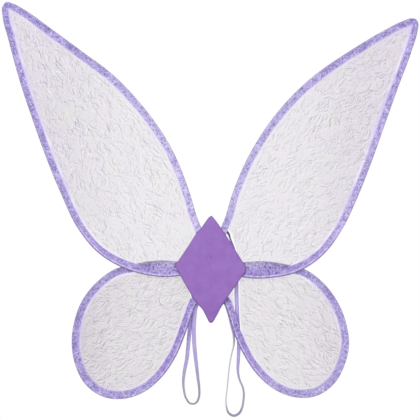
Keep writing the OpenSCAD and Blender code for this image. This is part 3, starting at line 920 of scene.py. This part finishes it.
def film(wing, plane, body, side, seed):
    """The sheer sheet: an even mesh inside the rim with slack, crackle and strands."""
    line, inner = rim_line(wing)
    outline = [p for p in clean_inset(line, inner, FILM_INSET) if not in_root(p)]
    spots, faces, ring, _ = fill(outline, FILM_GRID)
    edges = line_reach(spots, ring)
    turn = math.radians(CRACKLE_TURN[wing])
    points = [
        (side * p[0], plane + film_depth(p, e, turn, seed), p[1]) for p, e in zip(spots, edges)
    ]
    if side > 0:
        faces = [tuple(reversed(f)) for f in faces]
    # the strokes are laid the other way about on the mirrored side
    material = film_material(wing, side * turn, seed)
    shine = glow(spots, wing.split("_")[0])
    marks = {"edge": edges, "clear": backed(spots, wing, side), "glow": shine}
    sheet = add_mesh(f"{wing}_web", points, faces, material, marks)
    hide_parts(f"{wing}_film")
    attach(sheet, body)
    strands = fibres(wing, ring, plane, side, turn, seed)
    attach(strands, body)


def fibres(wing, ring, plane, side, turn, seed):
    """Short raised strands that lie on the film, mostly along the crackle."""
    draw = random.Random(seed)
    low, high = ring.min(0), ring.max(0)
    span = high - low
    strands = []
    for _ in range(int(STRANDS_PER_MM2 * span[0] * span[1])):
        x, z = low[0] + draw.random() * span[0], low[1] + draw.random() * span[1]
        bend = turn + draw.gauss(0, 0.4)
        curl = draw.gauss(0, 0.06)
        path = []
        for _ in range(draw.randint(5, 12)):
            path.append((x, z, bend))
            x += STRAND_STEP * math.cos(bend)
            z += STRAND_STEP * math.sin(bend)
            bend += curl + draw.gauss(0, 0.2)
        strands.append((path, draw.uniform(0.25, 0.5), draw.random(), draw.choice((-1, 1))))
    ends = np.array([s[0][k][:2] for s in strands for k in (0, -1)])
    fine = inside(ends, ring)
    away = line_reach(ends[fine], ring) > STRAND_CLEAR
    seen = backed(ends[fine], wing, side) < 0.1
    fine[fine] = away & seen
    fine = fine.reshape(-1, 2).all(1)
    points, faces, tones = [], [], []
    for keep, (path, width, tone, face) in zip(fine, strands):
        if not keep:
            continue
        begin = len(points)
        for k, (x, z, bend) in enumerate(path):
            half = width * math.sin(math.pi * (0.08 + 0.84 * k / (len(path) - 1)))
            depth = plane + film_depth((x, z), 12, turn, seed) + STRAND_LIFT * face
            for off in (-half, half):
                across = x - off * math.sin(bend)
                points.append((side * across, depth, z + off * math.cos(bend)))
                tones.append(tone)
        for k in range(len(path) - 1):
            a = begin + 2 * k
            faces.append((a, a + 1, a + 3, a + 2))
    return add_mesh(f"{wing}_strands", points, faces, STRANDS, {"tone": tones})


for side_name, side in (("left", -1), ("right", 1)):
    for k, (level, plane) in enumerate((("upper", UPPER_PLANE), ("lower", LOWER_PLANE))):
        wing = f"{level}_{side_name}"
        seed = 11 + 7 * k + 3 * side
        body = f"{side_name}_wings"
        binding(wing, plane, body, side, seed)
        film(wing, plane, body, side, seed)


# ---- patches and padding ----
# The hand-cut front diamond, clockwise from the top, in mm
DIAMOND = [
    (0.3, 77.5), (3, 75), (8.5, 68), (21, 50), (32, 32.5), (48.5, 6), (50.5, 1), (49, -3.5),
    (44, -10.5), (22, -42), (15.5, -52), (10, -62.5), (3, -75), (-0.4, -77), (-3.2, -75),
    (-12, -57.5), (-17, -52.2), (-27, -39), (-45, -7.5), (-51.5, 4.5), (-51.5, 7.5), (-47, 12.5),
    (-31, 36.5), (-21, 52.5), (-15.5, 58), (-3.8, 74.5),
]  # fmt: skip
PATCH_GRID = 1.3
# Heights of the hand stitches, which dimple the front patch
DIMPLES = [17, -3, -23]
DIMPLE_DEPTH = 0.35
# The wires show faintly through the patch: their height at each distance from the middle
WIRE_RUN_X = [20, 34, 48]
WIRE_RUN_Z = [2, -7, -11]


def half_outline(outline, side):
    """The part of the outline on one side of x = 0, closed down the middle."""
    ring = []
    for (x0, z0), (x1, z1) in zip(outline, outline[1:] + outline[:1]):
        if side * x0 >= 0:
            ring.append(Vector((x0, z0)))
        if (x0 > 0) != (x1 > 0) and x0 != x1:
            ring.append(Vector((0, z0 + (z1 - z0) * x0 / (x0 - x1))))
    return ring


def slab(name, outline, front, back, material, cut=None):
    """A cloth slab; front and back give depth from x, z and the reach to the cut edge."""
    spots, faces, ring, border = fill(outline, PATCH_GRID)
    gaps = line_reach(spots, ring if cut is None else cut)
    total = len(spots)
    points = [(x, front(x, z, gap), z) for (x, z), gap in zip(spots, gaps)]
    points += [(x, back(x, z, gap), z) for (x, z), gap in zip(spots, gaps)]
    shell = [tuple(reversed(f)) for f in faces]
    shell += [tuple(i + total for i in f) for f in faces]
    for a, b in zip(border, border[1:] + border[:1]):
        shell.append((a, b, b + total, a + total))
    made = add_mesh(name, points, shell, material, {"edge": list(gaps) * 2}, 50)
    work = bmesh.new()
    work.from_mesh(made.data)
    bmesh.ops.recalc_face_normals(work, faces=work.faces)
    work.to_mesh(made.data)
    work.free()
    return made


def corner_lift(x):
    """The front patch's left corner curls off the wings."""
    return 1.1 * smoothstep((-x - 38) / 13) ** 2


def patch_front(x, z, gap):
    soft = 0.26 * noise.noise(Vector((x / 26, z / 26, 5)))
    soft += 0.07 * noise.noise(Vector((x / 6, z / 6, 8)))
    for at in DIMPLES:
        soft -= DIMPLE_DEPTH * math.exp(-(x + 0.6) ** 2 / 1.6 - (z - at) ** 2 / 16)
    soft += 0.14 * math.exp(-((x - 0.6) ** 2) / 3) * smoothstep((40 - abs(z + 3)) / 10)
    wires = np.interp(abs(x), WIRE_RUN_X, WIRE_RUN_Z)
    soft += 0.3 * math.exp(-((z - wires) ** 2) / 5) * smoothstep((abs(x) - 18) / 8)
    return PATCH_FACE - soft - corner_lift(x) + 0.5 * math.exp(-gap / 0.5)


def patch_back(x, z, gap):
    return PATCH_BACK - corner_lift(x) - 0.12 * math.exp(-gap / 0.5)


def patch_half(name, side):
    """One half of the front patch."""
    cut = np.array(DIAMOND, float)
    made = slab(name, half_outline(DIAMOND, side), patch_front, patch_back, FELT, cut=cut)
    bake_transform(made)
    return made


left_half = patch_half("front_felt_left", -1)
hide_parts("front_patch_left", "front_patch_centre")
right_half = patch_half("front_felt_right", 1)
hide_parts("front_patch_right")

# The back patch is the same diamond, rounded at its points and cut off at the sides
DIAMOND_HALF_W = 51
DIAMOND_HALF_H = 76.5
BACK_HALF_W = 24
BACK_SIDE_H = 40.5
BACK_TIP_R = 2.5
BACK_TIP_Z = 72
BACK_T = 1.5
TIP_SLOPE = math.atan2(DIAMOND_HALF_W, DIAMOND_HALF_H)
HEM_IN = 3.5
HEM_PITCH = 5.5
HEM_STITCH = 3.4
THREAD_R = 0.32


def back_outline():
    tip = [
        (BACK_TIP_R * math.cos(a), BACK_TIP_Z + BACK_TIP_R * math.sin(a))
        for a in np.linspace(TIP_SLOPE, math.pi - TIP_SLOPE, 9)
    ]
    top = [(BACK_HALF_W, -BACK_SIDE_H), (BACK_HALF_W, BACK_SIDE_H)] + tip
    return [Vector(p) for p in top] + [Vector((-x, -z)) for x, z in top]


def back_face(x, z, gap):
    pucker = math.exp(-((gap - HEM_IN) ** 2) / 1.2) * 0.16
    soft = 0.1 * noise.noise(Vector((x / 18, z / 18, 31)))
    soft += 0.05 * noise.noise(Vector((x / 5, z / 5, 33)))
    return soft - pucker - 0.45 * math.exp(-gap / 0.5)


def stitches(name, line, depth):
    """Hand stitches along a closed line: each rises out of the cloth and dips back into it."""
    points, faces = [], []
    line = resample(line + [line[0]], HEM_PITCH)
    rings, sides = 7, 8
    for a, b in zip(line, line[1:]):
        way = (b - a).normalized()
        across = Vector((way[1], -way[0]))
        start = len(points)
        for i in range(rings):
            t = i / (rings - 1)
            at = a + way * HEM_STITCH * t
            up = depth - 0.35 + 0.5 * math.sin(math.pi * t)
            thick = THREAD_R * (0.6 + 0.4 * math.sin(math.pi * t))
            for k in range(sides):
                turn = math.tau * k / sides
                spot = at + across * thick * math.cos(turn)
                points.append((spot[0], up + thick * math.sin(turn), spot[1]))
        faces += ring_faces(rings, sides, start)
    return add_mesh(name, points, faces, THREAD)


outline = back_outline()
# the hem runs farther in at the pointed ends
hem_scale = (1 - HEM_IN / BACK_HALF_W, 1 - 1.6 * HEM_IN / BACK_TIP_Z)
hem_line = [Vector((p[0] * hem_scale[0], p[1] * hem_scale[1])) for p in outline]
back_panel = slab("back_felt_panel", outline, lambda x, z, gap: -BACK_T, back_face, BACK_FELT)
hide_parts("back_patch")
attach(back_panel, "harness")
hem = stitches("back_hem_stitches", hem_line, 0)
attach(hem, "harness")

# The wadding that fills the hub in front of the board
PAD_HALF_W = 8.5
PAD_TOP = 50
PAD_BOTTOM = -44
PAD_MID = -6.95
PAD_HALF_T = 1.4


def pad_swell(x, z, gap):
    tufts = 0.12 * noise.noise(Vector((x / 5, z / 5, 41)))
    return (PAD_HALF_T + tufts - 0.12) * math.sqrt(1 - math.exp(-(gap + 0.05) / 1.4))


pad_outline = [
    Vector((PAD_HALF_W, PAD_BOTTOM)), Vector((PAD_HALF_W, PAD_TOP)),
    Vector((-PAD_HALF_W, PAD_TOP)), Vector((-PAD_HALF_W, PAD_BOTTOM)),
]
pad = slab("hub_wadding", pad_outline, lambda x, z, gap: PAD_MID - pad_swell(x, z, gap),
           lambda x, z, gap: PAD_MID + pad_swell(x, z, gap), WADDING)
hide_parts("centre_pad")
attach(pad, "harness")

# ---- carried-over pieces ----
FINISHES = {
    "wire": WIRE, "crimp": CRIMP, "thread": THREAD, "sleeve_tape": TAPE, "board": BOARD,
    "padding": WADDING, "back_felt": BACK_FELT, "front_felt": FELT, "elastic": ELASTIC,
    "film": BOARD, "binding": GLITTER,
}  # fmt: skip
for sub in frame["record"]["subparts"]:
    mesh = NODES[sub["node"]].data
    mesh.materials.clear()
    mesh.materials.append(FINISHES[sub["material_slot"]])

# ---- floor and light ----
FLOOR_Z = -0.46
FLOOR_R = 1.15
LIGHT_AIM = (0, 0, 0.08)
SKY_STRENGTH = 0.56


def floor():
    work = bmesh.new()
    bmesh.ops.create_circle(work, cap_ends=True, segments=96, radius=FLOOR_R)
    mesh = bpy.data.meshes.new("floor")
    work.to_mesh(mesh)
    work.free()
    mesh.materials.append(blank("floor_white", 0.9, Base_Color=(0.9, 0.9, 0.9, 1))[0])
    made = bpy.data.objects.new("floor", mesh)
    made.location = (0, 0, FLOOR_Z)
    SCENE.collection.objects.link(made)


def area_light(name, place, size, power):
    data = bpy.data.lights.new(name, "AREA")
    data.shape = "DISK"
    data.size = size
    data.energy = power
    made = bpy.data.objects.new(name, data)
    made.location = place
    made.rotation_euler = (Vector(LIGHT_AIM) - Vector(place)).to_track_quat("-Z", "Y").to_euler()
    SCENE.collection.objects.link(made)


def surroundings():
    """Even light all round, with plain white where the camera sees past the wings."""
    world = bpy.data.worlds.new("studio")
    world.use_nodes = True
    tree = world.node_tree
    tree.nodes.clear()
    seen = put(tree, "ShaderNodeLightPath").outputs["Is Camera Ray"]
    lit = put(tree, "ShaderNodeBackground", Color=(1, 1, 1, 1), Strength=SKY_STRENGTH)
    white = put(tree, "ShaderNodeBackground", Color=(1, 1, 1, 1), Strength=1.0)
    both = put(tree, "ShaderNodeMixShader", _0=seen, _1=lit.outputs[0], _2=white.outputs[0])
    put(tree, "ShaderNodeOutputWorld", Surface=both.outputs[0])
    SCENE.world = world


floor()
surroundings()
area_light("key", (-1.1, -1.5, 1.5), 0.9, 22)
area_light("fill", (1.3, -1.4, 0.6), 1.2, 8)
area_light("back", (0.6, 1.5, 1.2), 1.2, 9)
SCENE.view_settings.view_transform = "Standard"
